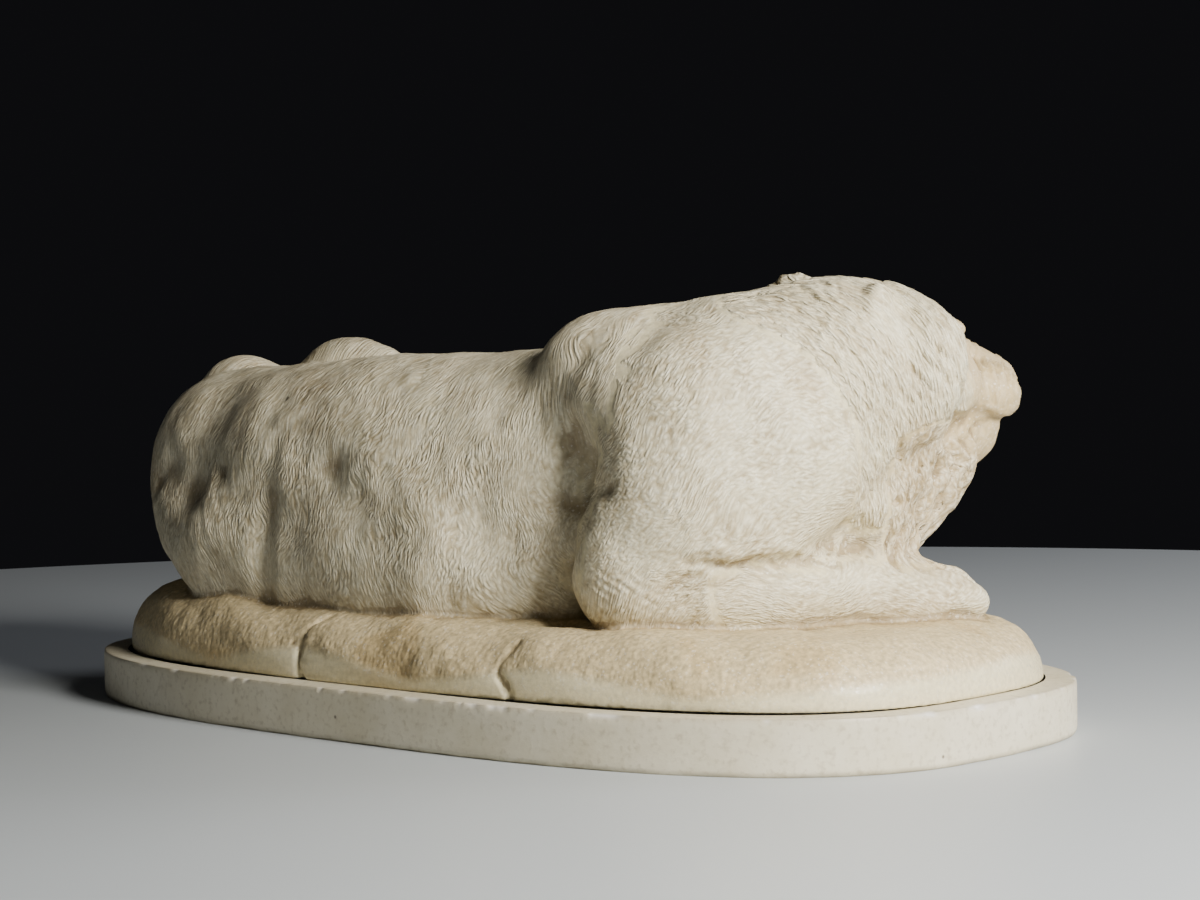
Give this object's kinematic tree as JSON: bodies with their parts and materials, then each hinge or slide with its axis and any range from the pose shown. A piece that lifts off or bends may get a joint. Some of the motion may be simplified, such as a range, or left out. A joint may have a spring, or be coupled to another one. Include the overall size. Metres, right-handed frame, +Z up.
{
  "type": "reclining lion sculpture",
  "caption": "Carved marble lion lying curled on a rough rocky ground, head turned away to its left, on a low oval marble plinth.",
  "frame": {"origin": "centre of the oval plinth's underside", "axes": "+Z up; +X along the oval towards the lion's forepaws; +Y to the side that the lion's face looks to"},
  "size_m": [0.45, 0.243, 0.1756],
  "materials": {
    "carved_marble": "aged white marble, tooled fur and locks, yellowed, with dirt in the hollows",
    "plinth_marble": "aged white marble slab, rubbed smooth, edges chipped and worn"
  },
  "bodies": {
    "root": {"lion_on_rocky_ground": "carved_marble", "oval_plinth": "plinth_marble"}
  },
  "joints": []
}
